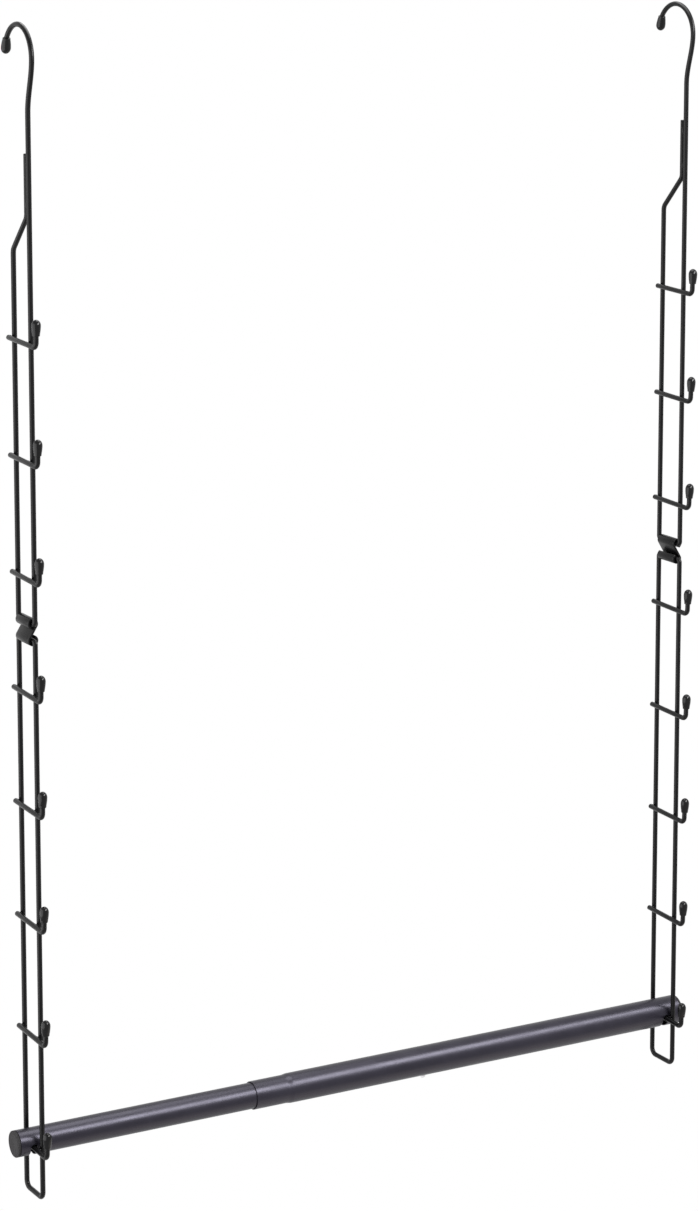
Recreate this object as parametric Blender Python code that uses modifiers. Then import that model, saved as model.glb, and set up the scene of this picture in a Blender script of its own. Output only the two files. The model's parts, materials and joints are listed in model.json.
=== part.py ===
"""Hang-on second clothes rail: two folding wire side frames and a telescopic bar.

Metres, +Z up. X runs along the bar and -Y is the front. The origin lies midway between the two
hooks, on the axis of the closet rod that they hang over.
"""
import math

import bpy
from mathutils import Matrix, Vector

# Fits
FIT_GAP = 0.0003            # left between pieces that touch
ROUND_STEPS = 24            # sides of a turned piece on the bar
CAP_STEPS = 10              # sides of a prong cap
BEND_STEPS = 4              # straight runs in a bend of the wire

# Side frames
FRAME_SPACING = 0.657       # between the planes of the two side frames
WIRE = 0.0045               # wire diameter
BAR_SIDE_GAP = 0.00115      # between the bar and an upright, on each side
RUNG_PITCH = 0.100
UPPER_RUNGS = 3
LOWER_RUNGS = 5
FIRST_RUNG_DROP = 0.2355    # first rung below the hook's centre
PIN_BELOW_RUNG = 0.0393     # upper crossbar below the last rung of the upper frame
PIN_PITCH = 0.0144          # upper crossbar to lower crossbar
FOOT_DROP = 0.045           # bottom crossbar below the last rung
HINGE_BEND = 0.0030         # bend of the wire beside the hinge
FRAME_BEND = 0.008          # every other bend of the frames

# Hook, neck and tail of the upper frame
HOOK_RADIUS = 0.027         # to the wire's axis
HOOK_SET_BACK = 0.0012      # hook's centre behind the middle of the frame
HOOK_TIP_ANGLE = math.radians(33)   # where the arc ends, above the horizontal
HOOK_TIP_TILT = math.radians(12)    # the straight tip, off the vertical
HOOK_STEPS = 14
CRANK_DROP = 0.045          # height of the S-shaped neck below the hook
CRANK_STEPS = 8
TAIL_TOP_DROP = 0.0785      # end of the tail, below the hook's centre
TAIL_RISE = 0.0528          # straight length of the tail
SHOULDER_RISE = 0.0297      # height of the slanted run below the tail

# Rungs and their prongs
RUNG_TILT = math.radians(2)         # a rung falls to the front
RUNG_OVERHANG = 0.002       # past the axis of the back upright
PRONG_REACH = 0.0206        # prong ahead of the front upright
PRONG_BEND = 0.005
PRONG_STEM = 0.0052         # bare wire between the bend and the cap
PRONG_LEAN = math.radians(2.5)

# Soft caps on the prongs and the hooks
CAP_LENGTH = 0.0137
PRONG_CAP_WALL = 0.00145    # at the widest place
HOOK_CAP_WALL = 0.0017
CAP_HIP_SHARE = 0.5         # of that wall, where the side turns in to the mouth
CAP_HIP_RISE = 0.0016       # that turn above the mouth
CAP_LIP = 0.0005            # wall at the mouth
CAP_DOME = 0.0050           # height of the rounded end
CAP_CROWN = 0.0028          # closed end, over the tip of the wire

# Hinge links
LINK_SHEET = 0.002
LINK_GAP = 0.0005           # play of the link's curls round the wire
LINK_END_GAP = 0.0007       # between the link and the start of the wire's bend
LINK_WRAP = math.radians(268)
LINK_STEPS = 16

# Telescopic bar
INNER_DIAMETER = 0.0232
TUBE_WALL = 0.0007
NECK_GAP = 0.0003           # running gap between the inner tube and the neck
SWAGE_STEP = 0.0007         # the outer tube's radius over the neck's
NECK_LENGTH = 0.032
SHOULDER_LENGTH = 0.006     # flare between the neck and the full tube
OUTER_LENGTH = 0.457
INNER_OVERHANG = 0.0145     # end face of the bar past the rung that carries it, on the left
OUTER_OVERHANG = 0.0190     # the same on the right
SEAT_RISE = 0.002           # bar axis above the middle of the rung that carries it
SLOT_SIDE_GAP = 0.00085     # between a rung and the side of its slot
TRAVEL_IN = 0.190           # the bar can be pushed in by this much
TRAVEL_OUT = 0.050          # and pulled out by this much
GUIDE_TAIL = 0.0116         # inner tube past the end of its guide slot
SCREW_FROM_NECK = 0.178
SCREW_SHANK = 0.0026
SCREW_HEAD = 0.0048
SCREW_HEAD_HEIGHT = 0.0028
SCREW_BITE = 0.0030         # shank inside the outer tube
CAP_FLANGE = 0.0024
CAP_BEVEL = 0.0006
PLUG_FLANGE = 0.004
SPIGOT_LENGTH = 0.0075
SPIGOT_WALL = 0.0015

# Worked out from the sizes above
NECK_RADIUS = INNER_DIAMETER / 2 + NECK_GAP + TUBE_WALL
OUTER_RADIUS = NECK_RADIUS + SWAGE_STEP
INNER_RADIUS = INNER_DIAMETER / 2
DEPTH = 2 * OUTER_RADIUS + 2 * BAR_SIDE_GAP + WIRE
FRONT_Y = -DEPTH / 2
BACK_Y = DEPTH / 2
TAIL_Y = FRONT_Y + WIRE + FIT_GAP
RUNG_X = -(WIRE + FIT_GAP)
RUNG_COUNT = UPPER_RUNGS + LOWER_RUNGS
UPPER_PIN_Z = -FIRST_RUNG_DROP - (UPPER_RUNGS - 1) * RUNG_PITCH - PIN_BELOW_RUNG
LOWER_PIN_Z = UPPER_PIN_Z - PIN_PITCH
LAST_RUNG_Z = -FIRST_RUNG_DROP - (RUNG_COUNT - 1) * RUNG_PITCH
BAR_Z = LAST_RUNG_Z + SEAT_RISE
SIDES = {"left": -FRAME_SPACING / 2, "right": FRAME_SPACING / 2}
LEFT_FACE_X = SIDES["left"] + RUNG_X - INNER_OVERHANG
RIGHT_FACE_X = SIDES["right"] + RUNG_X + OUTER_OVERHANG
OUTER_END_X = RIGHT_FACE_X - CAP_FLANGE
NECK_X = OUTER_END_X - OUTER_LENGTH
SCREW_X = NECK_X + SCREW_FROM_NECK
GUIDE_RADIUS = SCREW_SHANK / 2 + FIT_GAP
GUIDE_START_X = SCREW_X - TRAVEL_IN
GUIDE_END_X = SCREW_X + TRAVEL_OUT
INNER_START_X = LEFT_FACE_X + CAP_FLANGE
INNER_END_X = GUIDE_END_X + GUIDE_RADIUS + GUIDE_TAIL
ALONG_X = (0, math.pi / 2, 0)
AGAINST_X = (0, -math.pi / 2, 0)


# Scene and finishes

def clear_scene():
    for obj in list(bpy.data.objects):
        bpy.data.objects.remove(obj)


def new_collection(name):
    collection = bpy.data.collections.new(name)
    bpy.context.scene.collection.children.link(collection)
    return collection


def new_material(name, colour, roughness, metallic=0.0):
    material = bpy.data.materials.new(name)
    material.use_nodes = True
    shader = material.node_tree.nodes["Principled BSDF"]
    shader.inputs["Base Color"].default_value = (*colour, 1)
    shader.inputs["Roughness"].default_value = roughness
    shader.inputs["Metallic"].default_value = metallic
    return material


clear_scene()
PARTS = new_collection("closet_hanger")
CUTTERS = new_collection("cutters")
BLACK_COAT = new_material("black_powder_coat", (0.020, 0.020, 0.022), 0.45)
CHARCOAL_COAT = new_material("charcoal_bar_coat", (0.075, 0.072, 0.085), 0.32, 0.3)
BLACK_VINYL = new_material("black_vinyl", (0.012, 0.012, 0.013), 0.25)
GREY_PLASTIC = new_material("dark_grey_plastic", (0.080, 0.078, 0.080), 0.5)
ZINC = new_material("zinc_plate", (0.55, 0.55, 0.56), 0.35, 1.0)


# Placing and shaping

def new_pivot(name, location):
    pivot = bpy.data.objects.new(name, None)
    pivot.location = location
    pivot.empty_display_size = 0.02
    PARTS.objects.link(pivot)
    return pivot


def place(name, data, material, parent, location=(0, 0, 0), rotation=(0, 0, 0)):
    obj = bpy.data.objects.new(name, data)
    obj.parent = parent
    obj.location = location
    obj.rotation_euler = rotation
    data.materials.append(material)
    PARTS.objects.link(obj)
    return obj


def corner_arc(before, corner, after, radius):
    """Points of the arc that rounds a corner of a flat path."""
    back = (before - corner).normalized()
    ahead = (after - corner).normalized()
    half = back.angle(ahead) / 2
    centre = corner + (back + ahead).normalized() * (radius / math.sin(half))
    first = corner + back * (radius / math.tan(half)) - centre
    turn = math.pi - 2 * half
    if back.x * ahead.y - back.y * ahead.x > 0:
        turn = -turn
    steps = range(BEND_STEPS + 1)
    return [centre + Matrix.Rotation(turn * step / BEND_STEPS, 2) @ first for step in steps]


def rounded_path(corners, radii):
    """A flat path from its first corner to its last, with the corners between them rounded."""
    path = [corners[0]]
    for index, radius in enumerate(radii, start=1):
        path += corner_arc(*corners[index - 1:index + 2], radius)
    return path + [corners[-1]]


def rounded_loop(corners, radii):
    path = []
    for index, radius in enumerate(radii):
        after = corners[(index + 1) % len(corners)]
        path += corner_arc(corners[index - 1], corners[index], after, radius)
    return path


def bent_wire(name, path, parent, x=0.0, closed=False):
    """A wire along a path of (y, z) points in the plane at x."""
    curve = bpy.data.curves.new(name, "CURVE")
    curve.dimensions = "3D"
    curve.bevel_depth = WIRE / 2
    curve.bevel_resolution = 2
    curve.use_fill_caps = True
    spline = curve.splines.new("POLY")
    spline.points.add(len(path) - 1)
    for point, (y, z) in zip(spline.points, path):
        point.co = (x, y, z, 1)
    spline.use_cyclic_u = closed
    return place(name, curve, BLACK_COAT, parent)


def turned(name, profile, material, parent, location, rotation, closed=False, steps=ROUND_STEPS):
    """A turned piece: (radius, height) points down its outer side, then up any bore."""
    mesh = bpy.data.meshes.new(name)
    edges = [(index, index + 1) for index in range(len(profile) - 1)]
    if closed:
        edges.append((len(profile) - 1, 0))
    mesh.from_pydata([(radius, 0, height) for radius, height in profile], edges, [])
    obj = place(name, mesh, material, parent, location, rotation)
    screw = obj.modifiers.new("turn", "SCREW")
    screw.steps = steps
    screw.render_steps = steps
    screw.use_merge_vertices = True
    screw.merge_threshold = 0.00001
    screw.use_smooth_shade = True
    return obj


def cut(target, cutter):
    cutter.parent = target.parent
    cutter.hide_render = True
    cutter.display_type = "WIRE"
    for collection in list(cutter.users_collection):
        collection.objects.unlink(cutter)
    CUTTERS.objects.link(cutter)
    boolean = target.modifiers.new(cutter.name, "BOOLEAN")
    boolean.operation = "DIFFERENCE"
    boolean.object = cutter


def box_cutter(name, low, high):
    bpy.ops.mesh.primitive_cube_add(size=1)
    cutter = bpy.context.object
    cutter.name = name
    cutter.location = (Vector(low) + Vector(high)) / 2
    cutter.scale = Vector(high) - Vector(low)
    return cutter


def round_cutter(name, radius, length, centre, rotation):
    bpy.ops.mesh.primitive_cylinder_add(vertices=ROUND_STEPS, radius=radius, depth=length)
    cutter = bpy.context.object
    cutter.name = name
    cutter.location = centre
    cutter.rotation_euler = rotation
    return cutter


# Side frames

def hook_path():
    """From the hook's tip over its arc to its front, in (y, z) about the hook's centre."""
    arc_end = math.pi - HOOK_TIP_ANGLE
    path = []
    for step in range(HOOK_STEPS + 1):
        angle = HOOK_TIP_ANGLE + arc_end * step / HOOK_STEPS
        path.append(Vector((math.cos(angle), math.sin(angle))) * HOOK_RADIUS)
    return [point + Vector((HOOK_SET_BACK, 0)) for point in path]


def crank_path():
    """The S-shaped neck from the hook's front down to the front upright."""
    top_y = HOOK_SET_BACK - HOOK_RADIUS
    path = []
    for step in range(1, CRANK_STEPS + 1):
        share = step / CRANK_STEPS
        ease = share * share * (3 - 2 * share)
        path.append(Vector((top_y + (FRONT_Y - top_y) * ease, -CRANK_DROP * share)))
    return path


def upper_frame(side, pivot):
    tip = Vector((math.sin(HOOK_TIP_TILT), -math.cos(HOOK_TIP_TILT)))
    wire_tip = hook_path()[0] + tip * (CAP_LENGTH - CAP_CROWN)
    tail_foot = -TAIL_TOP_DROP - TAIL_RISE
    lower = [
        crank_path()[-1],
        Vector((FRONT_Y, UPPER_PIN_Z)),
        Vector((BACK_Y, UPPER_PIN_Z)),
        Vector((BACK_Y, tail_foot - SHOULDER_RISE)),
        Vector((TAIL_Y, tail_foot)),
        Vector((TAIL_Y, -TAIL_TOP_DROP)),
    ]
    run = rounded_path(lower, [HINGE_BEND, HINGE_BEND, FRAME_BEND, FRAME_BEND])
    path = [wire_tip] + hook_path() + crank_path()[:-1] + run
    lift = Vector((0, UPPER_PIN_Z))
    return bent_wire(f"{side}_upper_frame", [point - lift for point in path], pivot)


def lower_frame(side, pivot):
    foot_z = LAST_RUNG_Z - FOOT_DROP - LOWER_PIN_Z
    corners = [
        Vector((FRONT_Y, 0)),
        Vector((FRONT_Y, foot_z)),
        Vector((BACK_Y, foot_z)),
        Vector((BACK_Y, 0)),
    ]
    path = rounded_loop(corners, [HINGE_BEND, FRAME_BEND, FRAME_BEND, HINGE_BEND])
    return bent_wire(f"{side}_lower_frame", path, pivot, closed=True)


def on_rung(y):
    """The (y, z) point of a rung's axis at y, about the rung's middle."""
    return Vector((y, y * math.tan(RUNG_TILT)))


def prong_path():
    """A rung from its back end to the tip of its prong, in (y, z) about the rung's middle."""
    prong = Vector((-math.sin(PRONG_LEAN), math.cos(PRONG_LEAN)))
    corner = on_rung(FRONT_Y - PRONG_REACH)
    rise = PRONG_BEND + PRONG_STEM + CAP_LENGTH - CAP_CROWN
    ends = [on_rung(BACK_Y + RUNG_OVERHANG), corner, corner + prong * rise]
    mouth = corner + prong * (PRONG_BEND + PRONG_STEM)
    return rounded_path(ends, [PRONG_BEND]), mouth


def soft_cap(name, pivot, location, tilt, wall):
    """A bullet-shaped cap: mouth at its origin, round end along its own +Z."""
    bore = WIRE / 2 + FIT_GAP
    widest = bore + wall
    dome = [
        (widest * math.sin(angle), CAP_LENGTH - CAP_DOME * (1 - math.cos(angle)))
        for angle in (0, math.pi / 6, math.pi / 3, math.pi / 2)
    ]
    side = [(bore + wall * CAP_HIP_SHARE, CAP_HIP_RISE), (bore + CAP_LIP, 0)]
    roof = CAP_LENGTH - CAP_CROWN + FIT_GAP
    profile = dome + side + [(bore, 0), (bore, roof), (0, roof)]
    return turned(name, profile, BLACK_VINYL, pivot, location, (tilt, 0, 0), steps=CAP_STEPS)


def rung_with_cap(side, number, pivot, pivot_z):
    rung_z = -FIRST_RUNG_DROP - (number - 1) * RUNG_PITCH - pivot_z
    path, mouth = prong_path()
    lift = Vector((0, rung_z))
    bent_wire(f"{side}_rung_{number}", [point + lift for point in path], pivot, RUNG_X)
    cap_place = (RUNG_X, mouth.x, mouth.y + rung_z)
    soft_cap(f"{side}_prong_cap_{number}", pivot, cap_place, PRONG_LEAN, PRONG_CAP_WALL)


def link_path():
    """Middle line of the S-shaped strip, about the lower crossbar: upper curl, web, lower curl."""
    radius = WIRE / 2 + LINK_GAP + LINK_SHEET / 2
    cross = math.asin(2 * radius / PIN_PITCH)
    shares = [step / LINK_STEPS for step in range(LINK_STEPS + 1)]
    upper = [math.pi + cross - LINK_WRAP * (1 - share) for share in shares]
    lower = [cross - LINK_WRAP * share for share in shares]
    path = [(Vector((0, PIN_PITCH)), angle, 1) for angle in upper]
    path += [(Vector((0, 0)), angle, -1) for angle in lower]
    return [
        (centre + Vector((math.cos(angle), math.sin(angle))) * radius, angle, sense)
        for centre, angle, sense in path
    ]


def hinge_link(side, pivot):
    """The strip seen from the front is an S on the right frame and a mirrored S on the left."""
    hand = 1 if side == "right" else -1
    near, far = [], []
    for point, angle, sense in link_path():
        offset = Vector((math.cos(angle), math.sin(angle))) * (sense * LINK_SHEET / 2)
        near.append(point + offset)
        far.append(point - offset)
    outline = near + far[::-1]
    curve = bpy.data.curves.new(f"{side}_hinge_link", "CURVE")
    curve.dimensions = "2D"
    curve.fill_mode = "BOTH"
    curve.extrude = DEPTH / 2 - HINGE_BEND - LINK_END_GAP
    spline = curve.splines.new("POLY")
    spline.points.add(len(outline) - 1)
    for point, (x, z) in zip(spline.points, outline):
        point.co = (hand * x, z, 0, 1)
    spline.use_cyclic_u = True
    return place(curve.name, curve, BLACK_COAT, pivot, rotation=(math.pi / 2, 0, 0))


def side_frame(side):
    x = SIDES[side]
    upper_pivot = new_pivot(f"{side}_upper_pivot", (x, 0, UPPER_PIN_Z))
    lower_pivot = new_pivot(f"{side}_lower_pivot", (x, 0, LOWER_PIN_Z))
    upper_frame(side, upper_pivot)
    mouth = hook_path()[0]
    cap_place = (0, mouth.x, mouth.y - UPPER_PIN_Z)
    hang = math.pi + HOOK_TIP_TILT
    soft_cap(f"{side}_hook_cap", upper_pivot, cap_place, hang, HOOK_CAP_WALL)
    lower_frame(side, lower_pivot)
    hinge_link(side, lower_pivot)
    for number in range(1, RUNG_COUNT + 1):
        if number <= UPPER_RUNGS:
            rung_with_cap(side, number, upper_pivot, UPPER_PIN_Z)
        else:
            rung_with_cap(side, number, lower_pivot, LOWER_PIN_Z)


# Telescopic bar

def cut_rung_slot(tube, rung_x):
    """A slot from below, with a round top that rests on the rung's higher, back half."""
    width = WIRE + 2 * SLOT_SIDE_GAP
    top = WIRE / 2 + FIT_GAP - SEAT_RISE + OUTER_RADIUS * math.tan(RUNG_TILT)
    centre_z = top - width / 2
    reach = 2 * OUTER_RADIUS
    low = (rung_x - width / 2, -reach, -reach)
    cut(tube, box_cutter(f"{tube.name}_slot", low, (rung_x + width / 2, reach, centre_z)))
    across = (math.pi / 2, 0, 0)
    seat = round_cutter(f"{tube.name}_seat", width / 2, 2 * reach, (rung_x, 0, centre_z), across)
    cut(tube, seat)


def outer_tube(bar):
    shoulder_start = NECK_LENGTH
    shoulder_end = NECK_LENGTH + SHOULDER_LENGTH
    outside = [
        (OUTER_RADIUS, OUTER_LENGTH),
        (OUTER_RADIUS, shoulder_end),
        (NECK_RADIUS, shoulder_start),
        (NECK_RADIUS, 0),
    ]
    inside = [(radius - TUBE_WALL, height) for radius, height in reversed(outside)]
    tube = turned("bar_outer_tube", outside + inside, CHARCOAL_COAT, bar, (NECK_X, 0, 0), ALONG_X, True)
    cut_rung_slot(tube, SIDES["right"] + RUNG_X)
    hole = (SCREW_X, 0, -OUTER_RADIUS)
    cut(tube, round_cutter("screw_hole", GUIDE_RADIUS, OUTER_RADIUS, hole, (0, 0, 0)))


def inner_tube(bar):
    length = INNER_END_X - INNER_START_X
    outside = [(INNER_RADIUS, length), (INNER_RADIUS, 0)]
    inside = [(radius - TUBE_WALL, height) for radius, height in reversed(outside)]
    place_x = (INNER_START_X, 0, 0)
    tube = turned("bar_inner_tube", outside + inside, CHARCOAL_COAT, bar, place_x, ALONG_X, True)
    cut_rung_slot(tube, SIDES["left"] + RUNG_X)
    low = (GUIDE_START_X, -GUIDE_RADIUS, -2 * INNER_RADIUS)
    cut(tube, box_cutter("guide_slot", low, (GUIDE_END_X, GUIDE_RADIUS, 0)))
    for name, x in (("guide_start", GUIDE_START_X), ("guide_end", GUIDE_END_X)):
        end = round_cutter(name, GUIDE_RADIUS, 2 * INNER_RADIUS, (x, 0, -INNER_RADIUS), (0, 0, 0))
        cut(tube, end)


def tube_plug(name, bar, face_x, rotation, rim, bore, flange):
    """A moulded plug: flat face with a bevelled rim, and a hollow spigot in the tube's bore."""
    spigot = bore - FIT_GAP
    under = -flange + FIT_GAP
    profile = [
        (0, 0),
        (rim - CAP_BEVEL, 0),
        (rim, -CAP_BEVEL),
        (rim, under),
        (spigot, under),
        (spigot, -flange - SPIGOT_LENGTH),
        (spigot - SPIGOT_WALL, -flange - SPIGOT_LENGTH),
        (spigot - SPIGOT_WALL, -flange),
        (0, -flange),
    ]
    return turned(name, profile, GREY_PLASTIC, bar, (face_x, 0, 0), rotation)


def stop_screw(bar):
    shank = SCREW_SHANK / 2
    head = SCREW_HEAD / 2
    seat = -OUTER_RADIUS - FIT_GAP
    point = -OUTER_RADIUS + SCREW_BITE
    profile = [
        (0, point),
        (shank, point),
        (shank, seat),
        (head, seat),
        (head, seat - SCREW_HEAD_HEIGHT * 0.4),
        (head * 0.7, seat - SCREW_HEAD_HEIGHT * 0.85),
        (0, seat - SCREW_HEAD_HEIGHT),
    ]
    turned("stop_screw", profile, ZINC, bar, (SCREW_X, 0, 0), (0, 0, 0), steps=CAP_STEPS)


def telescopic_bar():
    bar = new_pivot("bar_axis", (0, 0, BAR_Z))
    outer_tube(bar)
    inner_tube(bar)
    inner_bore = INNER_RADIUS - TUBE_WALL
    outer_bore = OUTER_RADIUS - TUBE_WALL
    plug_face_x = INNER_END_X + PLUG_FLANGE
    plug_rim = outer_bore - FIT_GAP
    tube_plug("inner_end_cap", bar, LEFT_FACE_X, AGAINST_X, INNER_RADIUS, inner_bore, CAP_FLANGE)
    tube_plug("outer_end_cap", bar, RIGHT_FACE_X, ALONG_X, OUTER_RADIUS, outer_bore, CAP_FLANGE)
    tube_plug("glide_plug", bar, plug_face_x, ALONG_X, plug_rim, inner_bore, PLUG_FLANGE)
    stop_screw(bar)


for frame_side in SIDES:
    side_frame(frame_side)
telescopic_bar()
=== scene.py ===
"""Looks of a hang-on second clothes rail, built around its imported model.

Two folding wire side frames hook over a closet rod, and a telescopic bar lies across them. Metres, +Z up:
X runs along the bar, -Y is the front, and the origin lies midway between the hooks on the rod's axis.
"""
import json
import math
import random

import bmesh
import bpy
from bpy.props import FloatProperty, FloatVectorProperty, PointerProperty
from mathutils import Matrix, Vector

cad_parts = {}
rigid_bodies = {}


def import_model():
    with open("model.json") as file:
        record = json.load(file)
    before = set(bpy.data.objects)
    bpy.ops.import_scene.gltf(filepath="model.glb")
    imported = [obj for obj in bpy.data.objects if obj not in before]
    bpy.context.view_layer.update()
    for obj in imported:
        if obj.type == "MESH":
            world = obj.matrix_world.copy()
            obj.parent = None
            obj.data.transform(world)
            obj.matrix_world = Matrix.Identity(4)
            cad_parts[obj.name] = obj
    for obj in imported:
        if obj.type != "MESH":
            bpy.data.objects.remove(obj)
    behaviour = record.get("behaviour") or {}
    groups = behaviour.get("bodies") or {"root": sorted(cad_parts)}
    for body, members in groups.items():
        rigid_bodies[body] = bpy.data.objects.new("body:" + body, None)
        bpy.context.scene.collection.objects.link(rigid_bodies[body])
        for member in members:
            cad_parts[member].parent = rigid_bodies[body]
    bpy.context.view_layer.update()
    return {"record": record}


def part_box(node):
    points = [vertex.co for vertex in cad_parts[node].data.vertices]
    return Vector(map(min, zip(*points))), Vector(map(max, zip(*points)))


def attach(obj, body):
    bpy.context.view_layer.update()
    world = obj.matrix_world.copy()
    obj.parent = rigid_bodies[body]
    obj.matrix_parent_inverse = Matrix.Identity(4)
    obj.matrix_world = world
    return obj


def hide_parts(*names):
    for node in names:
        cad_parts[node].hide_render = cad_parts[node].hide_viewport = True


bl_info = {
    "name": "Closet hanger",
    "version": (1, 0, 0),
    "blender": (4, 5, 0),
    "location": "3D View > Sidebar > Closet hanger",
    "description": "Builds the visible pieces of a hang-on clothes rail around its packed model",
    "category": "Object",
}

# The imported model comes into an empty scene
for leftover in list(bpy.data.objects):
    bpy.data.objects.remove(leftover)
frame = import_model()


def angles_of(*degrees):
    return [math.radians(angle) for angle in degrees]


# Roundness of the pieces and the floor
WIRE_SIDES = 16
CAP_SIDES = 32
PLUG_SIDES = 64
TUBE_SIDES = 72
WELD_SIDES = 14
FLOOR_SIDES = 96
BEND_STEPS = 10
HOOK_STEPS = 48
NECK_STEPS = 20
CURL_STEPS = 44
SWAGE_STEPS = 12
CAP_SIDE_STEPS = 8
WELD_STEPS = 3              # rings of a weld on each side of its waist
QUARTER = angles_of(0, 30, 60, 90)
DOME_TURNS = angles_of(*range(4, 85, 10))               # crown of a soft cap down to its side
MOUTH_TURNS = angles_of(*range(18, 91, 18))             # side of a soft cap in to its mouth
SLOT_TURNS = angles_of(*range(0, 91, 10))               # round top of a rung's slot
HEAD_TURNS = angles_of(4, 14, 26, 38, 50, 62, 74, 84)   # domed head of the stop screw
GUIDE_PARTS = (0.25, 0.5, 0.7, 0.85, 0.95, 1.0)         # middle of the guide slot out to its side
COLUMN_ROOM = 0.3           # least distance between a tube's columns, as a share of their even step
ANGLE_SLACK = 1e-6
MERGE_DISTANCE = 1e-7
ALONG_X = Vector((1, 0, 0))
ALONG_Y = Vector((0, 1, 0))
ALONG_Z = Vector((0, 0, 1))
SQUARE = ((1, 1), (-1, 1), (-1, -1), (1, -1))
WHITE = (1, 1, 1, 1)

# Small forms
WELD_SEED = 11
WELD_UNEVEN = 0.07          # of a weld's radius
TAIL_WELDS = (0.18, 0.80)   # places of the tail's welds, as shares of its length
TAIL_WELD_STRETCH = 2.2     # length of a tail's weld over its width
CAP_SWELL = 1.8             # how late a soft cap's side turns in
CAP_ROOM = 0.0003           # left over the tip of the wire in a soft cap
NECK_LIP = 0.003            # first straight run behind the mouth of the outer tube
SLOT_MARGIN = 3             # plain tube beside a rung's slot, in slot widths
GUIDE_MARGIN = 4            # plain tube beside the guide slot, in its half widths
GATE_MARK = ((0.0003, -0.00012), (0.0009, -0.00012), (0.0011, -0.00002))    # radius and depth
FACE_RING = ((0.86, 0), (0.885, -0.00025), (0.925, -0.00025), (0.95, 0))    # share of the face and depth
SPIGOT_LEAD = 0.0006        # chamfer of a plug's inner end
PLUG_MIDDLE = 0.0004        # radius of the flat left in the middle of a plug's inside
SCREW_DOME = 0.62           # share of the screw head's height
HEAD_EDGE = 0.0001          # chamfer under the screw's head
SHANK_LEAD = 0.0003         # chamfer of the screw's tip
RECESS_TAPER = ((-0.0006, 1.25), (0.0, 1.0), (0.0011, 0.62))    # height in the head and share of the size

# Coats
TONE_SPREAD = 0.18          # of a coat's colour, from cloud to cloud
GLOSS_SPREAD = 0.14         # of its roughness
SCUFF_SCALE = (6.0, 900.0, 900.0)   # scuffs along the bar are long and fine
SCUFF_GLOSS = -0.05         # change of roughness in a scuff

# Floor, and the light panels as two ends of the middle line and a width
FLOOR_RINGS = (0.05, 1, 3, 40)
FLOOR_FADE = (0.3, 1.2)     # distances from the middle between which the floor runs out into white
FLOOR_SPREAD = 0.01         # of the floor's colour
KEY_STRIP = ((0.12, -1.58, 0.275), (1.68, -0.72, 0.92), 0.62)
SIDE_PANEL = ((-1.9, -1.2, -0.55), (-1.9, 1.6, -0.55), 2.1)
NEAR_STRIP = ((0.15, -1.65, 0.12), (0.80, -1.30, 0.40), 0.40)
TOP_PANEL = ((-0.30, 0.20, 0.65), (0.58, 0.20, 0.65), 1.0)
LOW_PANEL = ((-0.2, -0.55, -1.6), (1.2, -0.55, -1.6), 0.9)
LOW_PANEL_AIM = (0.5, -0.55, 0)

# Seat of the bar on its rungs
SEAT_RISE = 0.002           # bar's axis above the middle of the rung that carries it
SEAT_GAP = 0.0003           # left between a rung and the top of its slot
RUNG_TILT = math.radians(2)

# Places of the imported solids
BODY_OF = {
    node: body for body, nodes in frame["record"]["behaviour"]["bodies"].items() for node in nodes
}
SIDES = ("left", "right")


def low(node):
    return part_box(node)[0]


def high(node):
    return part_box(node)[1]


def middle(node):
    return (low(node) + high(node)) / 2


RUNG_COUNT = sum(node.startswith("left_rung_") for node in BODY_OF)
WIRE = high("left_lower_frame").x - low("left_lower_frame").x
PLANE_X = {side: middle(f"{side}_lower_frame").x for side in SIDES}
RUNG_X = {side: middle(f"{side}_rung_1").x for side in SIDES}
FRONT_Y = low("left_lower_frame").y + WIRE / 2
BACK_Y = high("left_lower_frame").y - WIRE / 2
UPPER_PIN_Z = low("left_upper_frame").z + WIRE / 2
LOWER_PIN_Z = high("left_lower_frame").z - WIRE / 2
FOOT_Z = low("left_lower_frame").z + WIRE / 2
BAR_Z = middle("bar_outer_tube").z
RUNG_PITCH = low("left_rung_1").z - low("left_rung_2").z
LAST_RUNG_Z = BAR_Z - SEAT_RISE
RUNG_NUMBERS = range(1, RUNG_COUNT + 1)
RUNG_Z = {number: LAST_RUNG_Z + (RUNG_COUNT - number) * RUNG_PITCH for number in RUNG_NUMBERS}
OUTER_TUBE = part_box("bar_outer_tube")
INNER_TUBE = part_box("bar_inner_tube")
OUTER_RADIUS = (OUTER_TUBE[1].y - OUTER_TUBE[0].y) / 2
INNER_RADIUS = (INNER_TUBE[1].y - INNER_TUBE[0].y) / 2
SCREW_X = middle("stop_screw").x


# Settings

def length(name, description, default):
    return FloatProperty(name=name, description=description, default=default, unit="LENGTH", precision=5)


def turn(name, description, degrees):
    return FloatProperty(
        name=name, description=description, default=math.radians(degrees), subtype="ANGLE"
    )


def share(name, description, default):
    return FloatProperty(
        name=name, description=description, default=default, min=0, max=1, subtype="FACTOR"
    )


def glow(name, description, default):
    return FloatProperty(name=name, description=description, default=default, min=0)


def colour(name, description, default):
    return FloatVectorProperty(
        name=name, description=description, default=default, size=3, min=0, max=1, subtype="COLOR"
    )


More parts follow.
